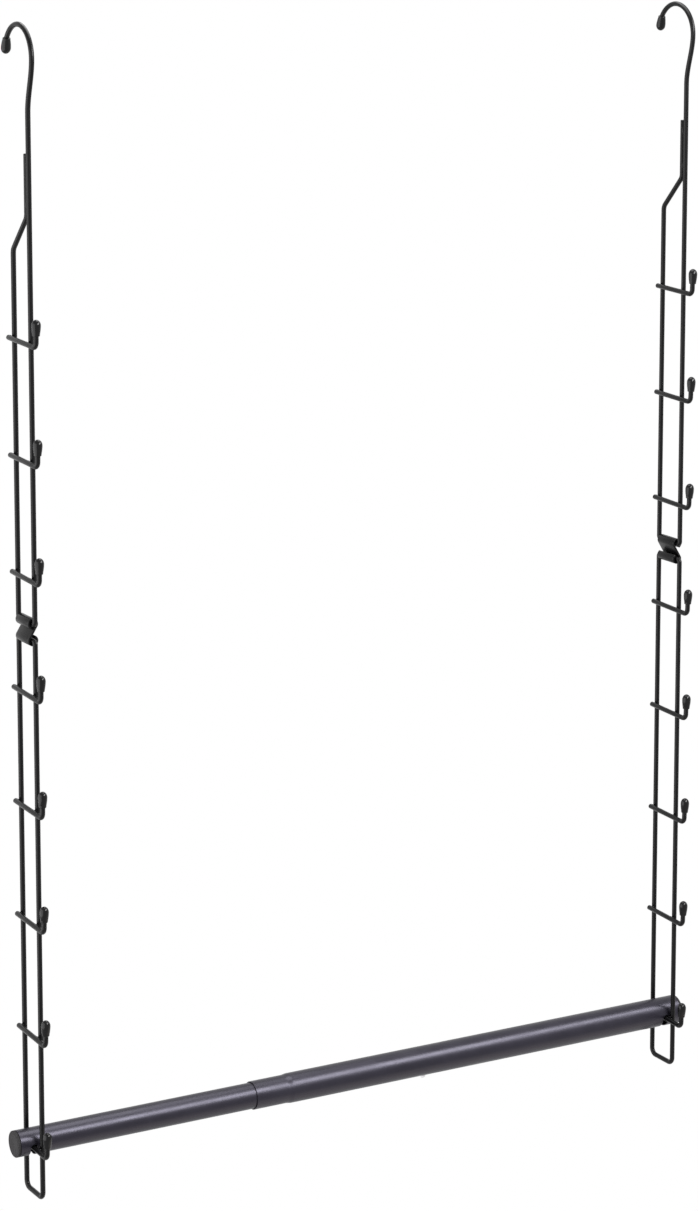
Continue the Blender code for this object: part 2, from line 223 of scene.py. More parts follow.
class WireSizes(bpy.types.PropertyGroup):
    """Bent wire of the side frames and their rungs"""

    hook_radius: length("Hook radius", "From the rod's axis to the middle of the hook's wire", 0.027)
    hook_set_back: length("Hook set back", "Centre of the hook behind the middle of the frame", 0.0012)
    hook_tip_angle: turn("Hook end", "Where the hook's arc ends, above the horizontal", 33)
    hook_tip_tilt: turn("Hook tip tilt", "Straight tip of the hook, off the vertical", 12)
    neck_drop: length("Neck height", "Height of the S-shaped neck below the hook", 0.045)
    tail_top: length("Tail top", "End of the tail below the rod's axis", 0.0785)
    tail_rise: length("Tail length", "Straight part of the tail", 0.0528)
    tail_gap: length("Tail gap", "Between the tail and the front upright", 0.0003)
    shoulder_rise: length("Shoulder height", "Height of the slanted run below the tail", 0.0297)
    hinge_bend: length("Hinge bend", "Bend of the wire beside the hinge", 0.003)
    shoulder_bend: length("Shoulder bend", "Bends at both ends of the slanted run below the tail", 0.008)
    foot_bend: length("Foot bend", "Bends at the foot of the ladder", 0.006)
    prong_reach: length("Prong reach", "Prong ahead of the front upright", 0.0206)
    prong_bend: length("Prong bend", "Bend between a rung and its prong", 0.005)
    prong_stem: length("Prong stem", "Bare wire between the bend and the cap", 0.0052)
    prong_lean: turn("Prong lean", "Prong off the vertical, to the front", 2.5)
    rung_overhang: length("Rung overhang", "Rung past the axis of the back upright", 0.002)
    deburr: length("Deburred end", "Rounding of a cut end of the wire", 0.0006)
    weld_waist: length("Weld waist", "Radius of a weld between two wires", 0.0016)
    weld_flare: length("Weld flare", "Radius of a weld where it runs out on a wire", 0.0022)
    weld_reach: length("Weld reach", "Half the length of a weld, into each wire", 0.0014)


class CapSizes(bpy.types.PropertyGroup):
    """Soft caps on the prongs and the hooks"""

    length: length("Length", "From the mouth to the top of the crown", 0.0137)
    prong_wall: length("Prong cap wall", "Wall of a prong's cap at its widest place", 0.00145)
    hook_wall: length("Hook cap wall", "Wall of a hook's cap at its widest place", 0.0017)
    lip: length("Lip", "Wall at the mouth", 0.0005)
    hip_share: share("Hip", "Share of the wall left where the side turns in to the mouth", 0.5)
    hip_rise: length("Hip height", "Height of that turn above the mouth", 0.0016)
    dome: length("Dome", "Height of the rounded end", 0.0050)
    bore: length("Bore radius", "Radius of the blind bore", 0.00255)
    crown: length("Crown", "Closed end over the tip of the wire", 0.0028)


class LinkSizes(bpy.types.PropertyGroup):
    """S-shaped sheet links of the hinges"""

    sheet: length("Sheet", "Thickness of the sheet", 0.002)
    gap: length("Gap", "Between the sheet and the crossbar it is rolled round", 0.0005)
    wrap: turn("Wrap", "How far each curl goes round its crossbar", 268)
    edge: length("Edge", "Rounding of the sheet's edges under the coat", 0.0005)


class BarSizes(bpy.types.PropertyGroup):
    """Tubes, end caps and stop screw of the telescopic bar"""

    wall: length("Wall", "Wall of both tubes", 0.0007)
    neck_radius: length("Neck radius", "Outer radius of the swaged neck", 0.0126)
    neck_length: length("Neck length", "Straight part of the neck", 0.032)
    shoulder: length("Shoulder", "Length of the step from the neck to the full tube", 0.006)
    slot_width: length("Slot width", "Slot that drops over a rung", 0.0062)
    slot_top: length(
        "Slot top", "Top of the slot above the bar's axis",
        WIRE / 2 + SEAT_GAP - SEAT_RISE + OUTER_RADIUS * math.tan(RUNG_TILT),
    )
    guide_start: length("Guide start", "Centre of the guide slot's left end, along the bar", -0.1287)
    guide_end: length("Guide end", "Centre of the guide slot's right end, along the bar", 0.1113)
    guide_radius: length("Guide radius", "Half the guide slot's width", 0.0016)
    edge: length("Edge", "Rounding of cut edges under the coat", 0.00012)
    flange: length("Flange", "Flange of an end cap", 0.0024)
    glide_flange: length("Glide flange", "Flange of the hidden glide plug", 0.004)
    rim: length("Rim", "Rounded rim of an end cap", 0.0007)
    seam: length("Seam", "Chamfer of an end cap beside its tube", 0.0004)
    spigot: length("Spigot", "Part of a plug inside its tube", 0.0075)
    spigot_wall: length("Spigot wall", "Wall of the hollow spigot", 0.0015)
    gap: length("Gap", "Between pieces that touch", 0.0003)
    screw_head: length("Screw head", "Radius of the stop screw's head", 0.0024)
    screw_shank: length("Screw shank", "Radius of the stop screw's shank", 0.0013)
    recess_span: length("Recess span", "Length of an arm-to-arm line of the cross recess", 0.0026)
    recess_width: length("Recess width", "Width of an arm of the cross recess", 0.0006)


class Finishes(bpy.types.PropertyGroup):
    """Colours and gloss of the coats"""

    frame_coat: colour("Frame coat", "Satin black coat of the wires and links", (0.0032, 0.0032, 0.0034))
    frame_gloss: share("Frame roughness", "Roughness of the black coat", 0.28)
    bar_coat: colour("Bar coat", "Charcoal coat of the tubes", (0.0066, 0.0058, 0.0092))
    bar_gloss: share("Bar roughness", "Roughness of the charcoal coat", 0.35)
    bar_sheen: colour("Bar sheen", "Tint of the charcoal coat's reflections", (0.84, 0.81, 1.0))
    cap_vinyl: colour("Cap vinyl", "Dipped vinyl of the soft caps", (0.0035, 0.0035, 0.0037))
    cap_gloss: share("Cap roughness", "Roughness of the vinyl", 0.15)
    end_plastic: colour("End cap plastic", "Moulded plastic of the end caps", (0.020, 0.019, 0.020))
    plastic_gloss: share("Plastic roughness", "Roughness of the plastic", 0.70)
    screw_zinc: colour("Zinc", "Zinc plate of the stop screw", (0.62, 0.62, 0.64))
    zinc_gloss: share("Zinc roughness", "Roughness of the zinc plate", 0.34)


class StageSettings(bpy.types.PropertyGroup):
    """Floor, light and camera"""

    floor_z: length("Floor", "Height of the floor below the rod's axis", -1.65)
    floor_colour: colour("Floor colour", "Pale floor", (0.62, 0.62, 0.62))
    daylight: share("Room light", "Even light from all round", 0.30)
    key_glow: glow("Key light", "Brightness of the long strip ahead of the bar, where white is 1", 19.0)
    side_glow: glow("Side light", "Brightness of the wide panel on the left", 3.4)
    top_glow: glow("Top light", "Brightness of the panel above the left half of the bar", 6.0)
    near_glow: glow("Near light", "Brightness of the short strip for the left end of the bar", 6.0)
    low_glow: glow("Bounce light", "Brightness of the warm bounce from the floor ahead of the bar", 0.5)
    low_tint: colour("Bounce tint", "Warm tint of the bounce light", (1.0, 0.85, 0.72))
    eye: FloatVectorProperty(
        name="Camera", description="Place of the camera", default=(-1.4729, -2.5732, 0.1885), unit="LENGTH"
    )
    heading: turn("Heading", "Camera turned from straight ahead to the right", 29.5104)
    pitch: turn("Pitch", "Camera tilted up", -8.5953)
    lens: FloatProperty(name="Lens", description="Focal length in millimetres", default=101.25)
    rise: FloatProperty(
        name="Shift", description="Lens shift, as a share of the frame's height", default=-0.2192
    )


class HangerSettings(bpy.types.PropertyGroup):
    """All settings of the closet hanger"""

    wires: PointerProperty(type=WireSizes)
    caps: PointerProperty(type=CapSizes)
    links: PointerProperty(type=LinkSizes)
    bar: PointerProperty(type=BarSizes)
    finishes: PointerProperty(type=Finishes)
    stage: PointerProperty(type=StageSettings)


# Node trees

def add_node(tree, kind, inputs=(), **settings):
    """Adds a node, with its settings and the values or links of its inputs by socket."""
    node = tree.nodes.new(kind)
    for name, value in settings.items():
        setattr(node, name, value)
    for key, value in dict(inputs).items():
        if isinstance(value, bpy.types.NodeSocket):
            tree.links.new(value, node.inputs[key])
        else:
            node.inputs[key].default_value = value
    return node


def new_group(name, inputs, outputs):
    """A shader node group with float inputs and outputs, with its two end nodes."""
    group = bpy.data.node_groups.new(name, "ShaderNodeTree")
    for label, value in inputs.items():
        socket = group.interface.new_socket(label, in_out="INPUT", socket_type="NodeSocketFloat")
        socket.default_value = value
    for label in outputs:
        group.interface.new_socket(label, in_out="OUTPUT", socket_type="NodeSocketFloat")
    return group, group.nodes.new("NodeGroupInput"), group.nodes.new("NodeGroupOutput")


def fade(tree, value, start, end, to_start=0.0, to_end=1.0):
    """Maps a value from one range to another, clamped."""
    ranges = {"Value": value, "From Min": start, "From Max": end, "To Min": to_start, "To Max": to_end}
    return add_node(tree, "ShaderNodeMapRange", ranges).outputs["Result"]


def maths(tree, operation, *values):
    return add_node(tree, "ShaderNodeMath", dict(enumerate(values)), operation=operation).outputs[0]


def mixed(tree, factor, first, second):
    """A colour between two colours."""
    colours = {0: factor, 6: first, 7: second}
    return add_node(tree, "ShaderNodeMix", colours, data_type="RGBA").outputs[2]


def mixed_shader(tree, factor, first, second):
    return add_node(tree, "ShaderNodeMixShader", {0: factor, 1: first, 2: second}).outputs[0]


def noise(tree, vector, scale, detail=2.0, roughness=0.5):
    inputs = {"Vector": vector, "Scale": scale, "Detail": detail, "Roughness": roughness}
    return add_node(tree, "ShaderNodeTexNoise", inputs).outputs["Fac"]


def coat_grain():
    """Orange peel, cloudy tone and fine specks of a sprayed, dipped or moulded skin."""
    name = "coat_grain"
    if name in bpy.data.node_groups:
        return bpy.data.node_groups[name]
    scales = {"Peel Scale": 900.0, "Cloud Scale": 45.0, "Speck Scale": 1600.0}
    group, inputs, outputs = new_group(name, scales, ("Peel", "Cloud", "Speck"))
    place = add_node(group, "ShaderNodeTexCoord").outputs["Object"]
    peel = noise(group, place, inputs.outputs["Peel Scale"])
    cloud = noise(group, place, inputs.outputs["Cloud Scale"], detail=4.0, roughness=0.6)
    specks = noise(group, place, inputs.outputs["Speck Scale"], detail=1.0)
    group.links.new(peel, outputs.inputs["Peel"])
    group.links.new(fade(group, cloud, start=0.3, end=0.7), outputs.inputs["Cloud"])
    group.links.new(fade(group, specks, start=0.66, end=0.74), outputs.inputs["Speck"])
    return group


def edge_wear():
    """A broken mask on sharp outer edges, where a coat runs thin or is rubbed."""
    name = "edge_wear"
    if name in bpy.data.node_groups:
        return bpy.data.node_groups[name]
    values = {"Sharpness": 0.56, "Break Scale": 700.0}
    group, inputs, outputs = new_group(name, values, ("Wear",))
    point = add_node(group, "ShaderNodeNewGeometry").outputs["Pointiness"]
    place = add_node(group, "ShaderNodeTexCoord").outputs["Object"]
    breaks = noise(group, place, inputs.outputs["Break Scale"], detail=3.0)
    sharp = maths(group, "SUBTRACT", point, inputs.outputs["Sharpness"])
    edge = fade(group, sharp, start=0.0, end=0.06)
    worn = maths(group, "MULTIPLY", edge, fade(group, breaks, start=0.40, end=0.62))
    group.links.new(worn, outputs.inputs["Wear"])
    return group


def shaded(base, level):
    return (*(min(1.0, part * level) for part in base), 1.0)


def coated(name, base, roughness, *, grain, depth, specular, speck, wear, metallic=0.0):
    """A coated finish: cloudy tone, specks, orange peel and worn edges over one colour.

    Grain holds the scales of the peel, the clouds and the specks, and depth is the height of the peel in
    metres. Speck and wear are the brightness of specks and worn edges, as shares of the colour.
    """
    material = bpy.data.materials.new(name)
    material.use_nodes = True
    tree = material.node_tree
    shader = tree.nodes["Principled BSDF"]
    shader.inputs["Specular IOR Level"].default_value = specular
    shader.inputs["Metallic"].default_value = metallic
    skin_node = add_node(tree, "ShaderNodeGroup", node_tree=coat_grain())
    for label, value in zip(("Peel Scale", "Cloud Scale", "Speck Scale"), grain):
        skin_node.inputs[label].default_value = value
    wear_node = add_node(tree, "ShaderNodeGroup", node_tree=edge_wear())
    cloud, specks = skin_node.outputs["Cloud"], skin_node.outputs["Speck"]
    tone = mixed(tree, cloud, shaded(base, 1 - TONE_SPREAD), shaded(base, 1 + TONE_SPREAD))
    toned = mixed(tree, specks, tone, shaded(base, speck))
    final = mixed(tree, wear_node.outputs["Wear"], toned, shaded(base, wear))
    tree.links.new(final, shader.inputs["Base Color"])
    smoothest, roughest = roughness * (1 - GLOSS_SPREAD), roughness * (1 + GLOSS_SPREAD)
    gloss = fade(tree, cloud, 0.0, 1.0, smoothest, roughest)
    tree.links.new(gloss, shader.inputs["Roughness"])
    relief = {"Height": skin_node.outputs["Peel"], "Distance": depth, "Strength": 1.0}
    bump = add_node(tree, "ShaderNodeBump", relief)
    tree.links.new(bump.outputs["Normal"], shader.inputs["Normal"])
    return material


def frame_coat(finishes):
    """Satin black powder coat."""
    return coated(
        "satin_black_coat", finishes.frame_coat, finishes.frame_gloss,
        grain=(700, 60, 1500), depth=0.000002, specular=0.14, speck=1.25, wear=1.0,
    )


def bar_coat(finishes):
    """Charcoal coat with a violet cast, finely scuffed lengthwise where one tube slides in the other."""
    material = coated(
        "charcoal_bar_coat_satin", finishes.bar_coat, finishes.bar_gloss,
        grain=(850, 35, 2200), depth=0.0000025, specular=0.38, speck=1.15, wear=1.9,
    )
    tree = material.node_tree
    shader = tree.nodes["Principled BSDF"]
    shader.inputs["Specular Tint"].default_value = (*finishes.bar_sheen, 1.0)
    place = add_node(tree, "ShaderNodeTexCoord").outputs["Object"]
    drawn = add_node(tree, "ShaderNodeMapping", {"Vector": place, "Scale": SCUFF_SCALE})
    scuffs = fade(tree, noise(tree, drawn.outputs["Vector"], scale=1.0), start=0.60, end=0.78)
    gloss = shader.inputs["Roughness"].links[0].from_socket
    rubbed = maths(tree, "MULTIPLY_ADD", scuffs, SCUFF_GLOSS, gloss)
    tree.links.new(rubbed, shader.inputs["Roughness"])
    return material


def cap_vinyl(finishes):
    """Glossy dipped vinyl."""
    return coated(
        "dipped_black_vinyl", finishes.cap_vinyl, finishes.cap_gloss,
        grain=(420, 120, 1500), depth=0.000006, specular=0.18, speck=1.3, wear=1.0,
    )


def end_plastic(finishes):
    """Dark grey moulded plastic with a fine spark-eroded grain."""
    return coated(
        "grey_moulded_plastic", finishes.end_plastic, finishes.plastic_gloss,
        grain=(2400, 90, 3000), depth=0.00004, specular=0.16, speck=1.2, wear=1.8,
    )


def screw_zinc(finishes):
    """Bright zinc plate with a faint crystal mottle."""
    return coated(
        "bright_zinc_plate", finishes.screw_zinc, finishes.zinc_gloss,
        grain=(1500, 500, 2400), depth=0.00002, specular=0.5, speck=0.8, wear=1.2, metallic=1.0,
    )


FINISH_MAKERS = {
    maker.__name__: maker for maker in (frame_coat, bar_coat, cap_vinyl, end_plastic, screw_zinc)
}
MADE_FINISHES = {}


def finish(slot):
    """The finish of one of the record's material slots, made at its first use."""
    if slot not in MADE_FINISHES:
        MADE_FINISHES[slot] = FINISH_MAKERS[slot](bpy.context.scene.closet_hanger.finishes)
    return MADE_FINISHES[slot]


# Shells

def circle(centre, across, out, radius, sides):
    turns = [math.tau * step / sides for step in range(sides)]
    return [centre + (across * math.cos(angle) + out * math.sin(angle)) * radius for angle in turns]


def skin(rings, closed=False):
    """Points and faces over a run of rings, with flat ends unless the run closes on itself."""
    sides = len(rings[0])
    points = [point for ring in rings for point in ring]
    spans = len(rings) if closed else len(rings) - 1
    faces = []
    for span in range(spans):
        here = span * sides
        there = (span + 1) % len(rings) * sides
        for step in range(sides):
            ahead = (step + 1) % sides
            faces.append((here + step, here + ahead, there + ahead, there + step))
    if not closed:
        faces.append(tuple(reversed(range(sides))))
        faces.append(tuple(range(spans * sides, (spans + 1) * sides)))
    return points, faces


def joined(shells):
    points, faces = [], []
    for some_points, some_faces in shells:
        start = len(points)
        points += some_points
        faces += [tuple(start + index for index in face) for face in some_faces]
    return points, faces


def new_mesh(name, shell):
    points, faces = shell
    mesh = bpy.data.meshes.new(name)
    mesh.from_pydata(points, [], faces)
    return mesh


def new_piece(name, shell, slot, stands_for=(), body=None, crease=40):
    """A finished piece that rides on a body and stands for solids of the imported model."""
    mesh = new_mesh(name, shell)
    shape = bmesh.new()
    shape.from_mesh(mesh)
    bmesh.ops.remove_doubles(shape, verts=shape.verts, dist=MERGE_DISTANCE)
    bmesh.ops.recalc_face_normals(shape, faces=shape.faces)
    shape.to_mesh(mesh)
    shape.free()
    mesh.shade_smooth()
    mesh.set_sharp_from_angle(angle=math.radians(crease))
    mesh.materials.append(finish(slot))
    piece = bpy.data.objects.new(name, mesh)
    bpy.context.scene.collection.objects.link(piece)
    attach(piece, body or BODY_OF[stands_for[0]])
    if stands_for:
        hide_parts(*stands_for)
    return piece


def turned(profile, foot, axis, sides):
    """A turned shell of (radius, height) points along an axis from its foot."""
    out = axis.orthogonal().normalized()
    across = axis.cross(out)
    return skin([circle(foot + axis * height, across, out, radius, sides) for radius, height in profile])


def eased(part):
    """A smooth run from 0 to 1."""
    return part * part * (3 - 2 * part)


def flat_to_space(x, point):
    """A (y, z) point in the upright plane at x."""
    return Vector((x, point.x, point.y))


def bend(before, corner, after, radius):
    """Points of the arc that rounds a corner of a flat path."""
    back = (before - corner).normalized()
    ahead = (after - corner).normalized()
    half = back.angle(ahead) / 2
    centre = corner + (back + ahead).normalized() * (radius / math.sin(half))
    spoke = corner + back * (radius / math.tan(half)) - centre
    sweep = math.pi - 2 * half
    if back.x * ahead.y > back.y * ahead.x:
        sweep = -sweep
    steps = range(BEND_STEPS + 1)
    return [centre + Matrix.Rotation(sweep * step / BEND_STEPS, 2) @ spoke for step in steps]


def bent_path(corners, radii):
    """A flat path from its first corner to its last, rounded at those between."""
    path = [corners[0]]
    for index, radius in enumerate(radii, start=1):
        path += bend(*corners[index - 1:index + 2], radius)
    return path + [corners[-1]]


def bent_loop(corners, radii):
    path = []
    for index, radius in enumerate(radii):
        path += bend(corners[index - 1], corners[index], corners[(index + 1) % len(corners)], radius)
    return path


def wire_shell(path, x, deburr, closed=False):
    """A round wire along (y, z) points in the plane at x, with deburred ends."""
    radius = WIRE / 2
    count = len(path)
    rings = []
    for index, point in enumerate(path):
        ahead = path[(index + 1) % count] if closed or index < count - 1 else point
        behind = path[index - 1] if closed or index else point
        run = (ahead - behind).normalized()
        across = Vector((0, -run.y, run.x))
        stops = [(0, radius)]
        if not closed and index in (0, count - 1):
            inward = 1 if index == 0 else -1
            stops = [
                (inward * deburr * (1 - math.cos(angle)), radius - deburr * (1 - math.sin(angle)))
                for angle in QUARTER[::inward]
            ]
        for inset, size in stops:
            rings.append(circle(flat_to_space(x, point + run * inset), across, ALONG_X, size, WIRE_SIDES))
    return skin(rings, closed)


# Side frames

def hook_path(wires):
    """From the hook's tip over its arc to its front, as (y, z) points."""
    sweep = math.pi - wires.hook_tip_angle
    angles = [wires.hook_tip_angle + sweep * step / HOOK_STEPS for step in range(HOOK_STEPS + 1)]
    centre = Vector((wires.hook_set_back, 0))
    return [centre + Vector((math.cos(angle), math.sin(angle))) * wires.hook_radius for angle in angles]


def hook_tip(wires):
    """Mouth of the hook's cap, and the way that its straight tip points."""
    tilt = wires.hook_tip_tilt
    return hook_path(wires)[0], Vector((math.sin(tilt), -math.cos(tilt)))


def neck_path(wires):
    """The S-shaped neck from the hook's front down to the front upright."""
    top_y = wires.hook_set_back - wires.hook_radius
    path = []
    for step in range(1, NECK_STEPS + 1):
        part = step / NECK_STEPS
        path.append(Vector((top_y + (FRONT_Y - top_y) * eased(part), -wires.neck_drop * part)))
    return path


def upper_frame_path(wires, caps):
    mouth, tip = hook_tip(wires)
    tail_y = FRONT_Y + WIRE + wires.tail_gap
    tail_foot = -wires.tail_top - wires.tail_rise
    neck = neck_path(wires)
    corners = [
        neck[-1],
        Vector((FRONT_Y, UPPER_PIN_Z)),
        Vector((BACK_Y, UPPER_PIN_Z)),
        Vector((BACK_Y, tail_foot - wires.shoulder_rise)),
        Vector((tail_y, tail_foot)),
        Vector((tail_y, -wires.tail_top)),
    ]
    bends = [wires.hinge_bend, wires.hinge_bend, wires.shoulder_bend, wires.shoulder_bend]
    start = mouth + tip * (caps.length - caps.crown)
    return [start] + hook_path(wires) + neck[:-1] + bent_path(corners, bends)


def lower_frame_path(wires):
    corners = [
        Vector((FRONT_Y, LOWER_PIN_Z)),
        Vector((FRONT_Y, FOOT_Z)),
        Vector((BACK_Y, FOOT_Z)),
        Vector((BACK_Y, LOWER_PIN_Z)),
    ]
    return bent_loop(corners, [wires.hinge_bend, wires.foot_bend, wires.foot_bend, wires.hinge_bend])


def on_rung(number, y):
    """The (y, z) point of a rung's axis at y; a rung falls to the front."""
    return Vector((y, RUNG_Z[number] + y * math.tan(RUNG_TILT)))


def prong(wires, number):
    """Corner below a rung's prong, and the way that the prong points."""
    lean = wires.prong_lean
    return on_rung(number, FRONT_Y - wires.prong_reach), Vector((-math.sin(lean), math.cos(lean)))


def rung_path(wires, caps, number):
    corner, up = prong(wires, number)
    back_end = on_rung(number, BACK_Y + wires.rung_overhang)
    tip = corner + up * (wires.prong_bend + wires.prong_stem + caps.length - caps.crown)
    return bent_path([back_end, corner, tip], [wires.prong_bend])


def weld_shell(wires, centre, axis, along, stretch, draw):
    """A small spool of weld metal between two wires, a little uneven."""
    out = axis.cross(along)
    rings = []
    for step in range(-WELD_STEPS, WELD_STEPS + 1):
        part = step / WELD_STEPS
        size = wires.weld_waist + (wires.weld_flare - wires.weld_waist) * part * part
        place = centre + axis * (wires.weld_reach * part)
        ring = []
        for turn_step in range(WELD_SIDES):
            angle = math.tau * turn_step / WELD_SIDES
            reach = size * (1 + draw.uniform(-WELD_UNEVEN, WELD_UNEVEN))
            sideways = along * (math.cos(angle) * reach * stretch)
            ring.append(place + sideways + out * (math.sin(angle) * reach))
        rings.append(ring)
    return skin(rings)


def cap_shell(caps, wall, mouth, axis):
    """A bullet-shaped cap with a blind bore, turned in round its mouth."""
    widest = caps.bore + wall
    hip = caps.bore + wall * caps.hip_share
    lip = caps.bore + caps.lip
    shoulder = caps.length - caps.dome
    profile = []
    for angle in DOME_TURNS:
        profile.append((widest * math.sin(angle), caps.length - caps.dome * (1 - math.cos(angle))))
    for step in range(CAP_SIDE_STEPS + 1):
        part = step / CAP_SIDE_STEPS
        radius = widest - (widest - hip) * part ** CAP_SWELL
        profile.append((radius, shoulder + (caps.hip_rise - shoulder) * part))
    for angle in MOUTH_TURNS:
        profile.append((lip + (hip - lip) * math.cos(angle), caps.hip_rise * (1 - math.sin(angle))))
    roof = caps.length - caps.crown + CAP_ROOM
    profile += [(caps.bore, 0), (caps.bore, roof)]
    return turned(profile, mouth, axis, CAP_SIDES)


def link_shell(links, side, half_width):
    """The S-shaped strip rolled round both crossbars; the left one is the right one's mirror image."""
    hand = 1 if side == "right" else -1
    radius = WIRE / 2 + links.gap + links.sheet / 2
    pitch = UPPER_PIN_Z - LOWER_PIN_Z
    cross = math.asin(2 * radius / pitch)
    parts = [step / CURL_STEPS for step in range(CURL_STEPS + 1)]
    stops = [(UPPER_PIN_Z, math.pi + cross - links.wrap * (1 - part), 1) for part in parts]
    stops += [(LOWER_PIN_Z, cross - links.wrap * part, -1) for part in parts]
    rings = []
    last = len(stops) - 1
    for index, (pin_z, angle, sense) in enumerate(stops):
        spoke = Vector((math.cos(angle), 0, math.sin(angle)))
        centre = Vector((0, 0, pin_z)) + spoke * radius
        trims = [0.0]
        if index in (0, last):
            trims = [links.edge, 0.0] if index == 0 else [0.0, links.edge]
        for trim in trims:
            rings.append(strip_ring(links, centre, spoke * sense, half_width, trim))
    for ring in rings:
        for point in ring:
            point.x = PLANE_X[side] + hand * point.x
    return skin(rings)


def strip_ring(links, centre, out, half_width, trim):
    """Outline of the sheet across its run, with rounded edges."""
    edge = links.edge
    half_sheet = links.sheet / 2 - trim
    half_width -= trim
    ring = []
    for corner, (side_out, side_along) in enumerate(SQUARE):
        for angle in QUARTER:
            swing = angle + corner * math.pi / 2
            reach = out * (half_sheet - edge) * side_out + ALONG_Y * (half_width - edge) * side_along
            ring.append(centre + reach + (out * math.cos(swing) + ALONG_Y * math.sin(swing)) * edge)
    return ring


# Telescopic bar

class TubeCut:
    """An opening in a tube's underside, between two places along X that depend on the angle from below."""

    def __init__(self, start, end, reach, bulge):
        self.start, self.end, self.reach, self.bulge = start, end, reach, bulge

    def span(self, angle):
        spread = self.bulge(abs(angle)) if abs(angle) < self.reach - ANGLE_SLACK else 0.0
        return self.start - spread, self.end + spread


def rung_slot(bar, x, radius):
    """A slot with a round top that drops over a rung."""
    half = bar.slot_width / 2
    round_z = bar.slot_top - half

    def bulge(angle):
        above = -radius * math.cos(angle) - round_z
        return half if above < 0 else math.sqrt(max(0.0, half * half - above * above))

    return TubeCut(x, x, math.acos(-bar.slot_top / radius), bulge)


def rung_slot_angles(bar, radius):
    half = bar.slot_width / 2
    heights = [bar.slot_top - half + half * math.sin(angle) for angle in SLOT_TURNS]
    return [math.acos(-height / radius) for height in heights]


def guide_slot(bar, radius):
    """A long slot with round ends that the stop screw runs in."""
    half = bar.guide_radius

    def bulge(angle):
        return math.sqrt(max(0.0, half * half - (radius * math.sin(angle)) ** 2))

    return TubeCut(bar.guide_start, bar.guide_end, math.asin(half / radius), bulge)


def tube_shell(bays, cuts, angles):
    """A thin tube along X.

    Bays are runs of (x, outer radius, inner radius), with a cut after each but the last.
    """
    even = [math.tau * step / TUBE_SIDES - math.pi for step in range(TUBE_SIDES)]
    special = [sign * angle for angle in angles for sign in (1, -1)]
    room = math.tau / TUBE_SIDES * COLUMN_ROOM
    kept = [angle for angle in even if min(abs(angle - one) for one in special) > room]
    columns = sorted(special + kept)
    stations, cut_spans = [], {}
    for index, bay in enumerate(bays):
        stations += [(lambda angle, x=x: x, outer, inner) for x, outer, inner in bay]
        if index < len(cuts):
            cut = cuts[index]
            cut_spans[len(stations)] = cut
            radii = bay[-1][1:]
            stations.append((lambda angle, cut=cut: cut.span(angle)[0], *radii))
            stations.append((lambda angle, cut=cut: cut.span(angle)[1], *radii))
    count = len(stations)
    points = []
    for angle in columns:
        for pick in (1, 2):
            for station in stations:
                size = station[pick]
                points.append(Vector((
                    station[0](angle), size * math.sin(angle), BAR_Z - size * math.cos(angle)
                )))

    def at(column, span, inside):
        return (column % len(columns)) * 2 * count + inside * count + span

    def is_open(column, cut):
        here, there = columns[column], columns[(column + 1) % len(columns)]
        return there > here and abs(here + there) / 2 < cut.reach

    def wall_across(column, span):
        ahead = column + 1
        return at(column, span, 0), at(ahead, span, 0), at(ahead, span, 1), at(column, span, 1)

    def wall_along(column, span):
        beyond = span + 1
        return at(column, span, 0), at(column, beyond, 0), at(column, beyond, 1), at(column, span, 1)

    faces = []
    for column in range(len(columns)):
        ahead = column + 1
        for span in range(count - 1):
            cut = cut_spans.get(span)
            if cut and is_open(column, cut):
                faces += [wall_across(column, edge) for edge in (span, span + 1)]
                continue
            if not (cut and cut.start == cut.end):
                for inside in (0, 1):
                    faces.append((
                        at(column, span, inside), at(column, span + 1, inside),
                        at(ahead, span + 1, inside), at(ahead, span, inside),
                    ))
            if cut and cut.start != cut.end and is_open(column - 1, cut) != is_open(column, cut):
                faces.append(wall_along(column, span))
        faces += [wall_across(column, span) for span in (0, count - 1)]
    return points, faces


def round_edges(piece, width, segments=2, above=50):
    rounding = piece.modifiers.new("rounded_edges", "BEVEL")
    rounding.width = width
    rounding.segments = segments
    rounding.limit_method = "ANGLE"
    rounding.angle_limit = math.radians(above)
    rounding.use_clamp_overlap = False


def plug_shell(bar, face_x, outward, rim_radius, bore, flange):
    """A moulded plug with a gate mark and a ring groove in its face, a rounded rim and a hollow spigot."""
    spigot = bore - bar.gap
    rim = bar.rim
    flat = rim_radius - rim
    face = [*GATE_MARK, *((flat * part, depth) for part, depth in FACE_RING)]
    face += [(flat + rim * math.sin(angle), -rim * (1 - math.cos(angle))) for angle in QUARTER]
    under = -flange + bar.gap
    root = -flange - bar.spigot
    hollow = spigot - bar.spigot_wall
    body = [
        (rim_radius, under + bar.seam), (rim_radius - bar.seam, under),
        (spigot, under), (spigot, root + SPIGOT_LEAD), (spigot - SPIGOT_LEAD, root),
        (hollow, root), (hollow, -flange), (PLUG_MIDDLE, -flange),
    ]
    return turned(face + body, Vector((face_x, 0, BAR_Z)), outward, PLUG_SIDES)


def carved(shell, cutters):
    """A shell with other shells cut out of it."""
    target = bpy.data.objects.new("carved", new_mesh("carved", shell))
    bpy.context.scene.collection.objects.link(target)
    tools = []
    for cutter in cutters:
        tool = bpy.data.objects.new("tool", new_mesh("tool", cutter))
        bpy.context.scene.collection.objects.link(tool)
        cut = target.modifiers.new("cut", "BOOLEAN")
        cut.operation = "DIFFERENCE"
        cut.object = tool
        tools.append(tool)
    graph = bpy.context.evaluated_depsgraph_get()
    mesh = target.evaluated_get(graph).to_mesh()
    points = [vertex.co.copy() for vertex in mesh.vertices]
    faces = [tuple(face.vertices) for face in mesh.polygons]
    for leftover in (target, *tools):
        bpy.data.objects.remove(leftover)
    return points, faces


